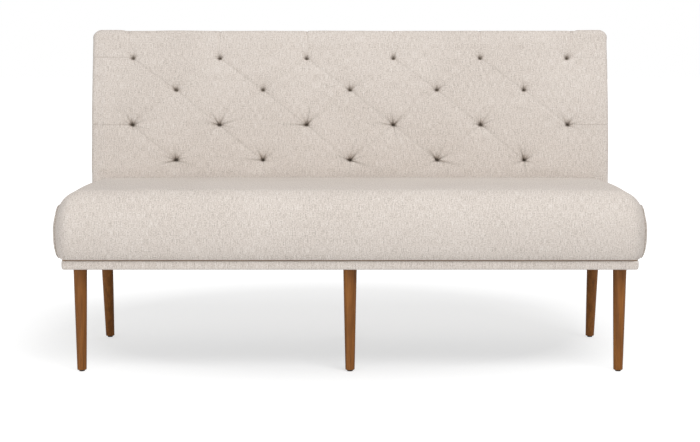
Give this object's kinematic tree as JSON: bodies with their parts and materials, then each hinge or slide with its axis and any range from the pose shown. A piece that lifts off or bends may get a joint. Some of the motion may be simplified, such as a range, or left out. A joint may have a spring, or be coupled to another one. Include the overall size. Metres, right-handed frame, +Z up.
{
  "type": "upholstered bench",
  "caption": "Long upholstered bench: foam seat with rounded ends, leaning tufted back, fabric rail and slim tapered round wooden legs.",
  "frame": {"origin": "on the floor, under the middle of the whole bench", "axes": "+X along the bench to the right as seen from the front, +Y towards the back, +Z up"},
  "size_m": [1.59, 0.7255, 0.911],
  "materials": {
    "fabric": "woven oatmeal upholstery cloth, matt",
    "border": "the same cloth over a flat band, matt",
    "foam": "open-cell polyurethane foam, matt",
    "felt": "pressed felt, matt",
    "dust_cloth": "thin black non-woven cloth, matt",
    "twine": "waxed tufting twine, matt",
    "frame_wood": "bare plywood and softwood, sawn",
    "walnut": "turned hardwood, walnut stain, satin",
    "glide": "black nylon, matt",
    "steel": "zinc-plated or oiled steel"
  },
  "bodies": {
    "root": {"back_cover_front": "fabric", "back_cover_rear": "fabric", "back_foam": "foam", "back_post_centre_left": "frame_wood", "back_post_centre_right": "frame_wood", "back_post_left": "frame_wood", "back_post_right": "frame_wood", "back_tack_rails": "frame_wood", "back_top_rail": "frame_wood", "board_screws": "steel", "centre_blocks": "frame_wood", "clip_nails": "steel", "corner_blocks": "frame_wood", "dust_cover": "dust_cloth", "frame_dowels": "frame_wood", "glide_front_centre": "glide", "glide_front_left": "glide", "glide_front_right": "glide", "glide_rear_centre": "glide", "glide_rear_left": "glide", "glide_rear_right": "glide", "hanger_bolts": "steel", "leg_front_centre": "walnut", "leg_front_left": "walnut", "leg_front_right": "walnut", "leg_plates_front": "steel", "leg_plates_rear": "steel", "leg_rear_centre": "walnut", "leg_rear_left": "walnut", "leg_rear_right": "walnut", "plate_screws": "steel", "post_bolts": "steel", "post_nuts": "steel", "post_washers": "steel", "rail_border": "border", "seat_centre_rail": "frame_wood", "seat_cover": "fabric", "seat_cross_rail_left": "frame_wood", "seat_cross_rail_right": "frame_wood", "seat_end_panel_left": "fabric", "seat_end_panel_right": "fabric", "seat_end_rail_left": "frame_wood", "seat_end_rail_right": "frame_wood", "seat_foam": "foam", "seat_front_rail": "frame_wood", "seat_rear_rail": "frame_wood", "sinuous_springs": "steel", "spring_clips": "steel", "spring_insulator": "felt", "tie_wires": "steel", "tuft_anchors": "steel", "tuft_board": "frame_wood", "tuft_stitches": "twine", "tuft_twines": "twine"}
  },
  "joints": []
}
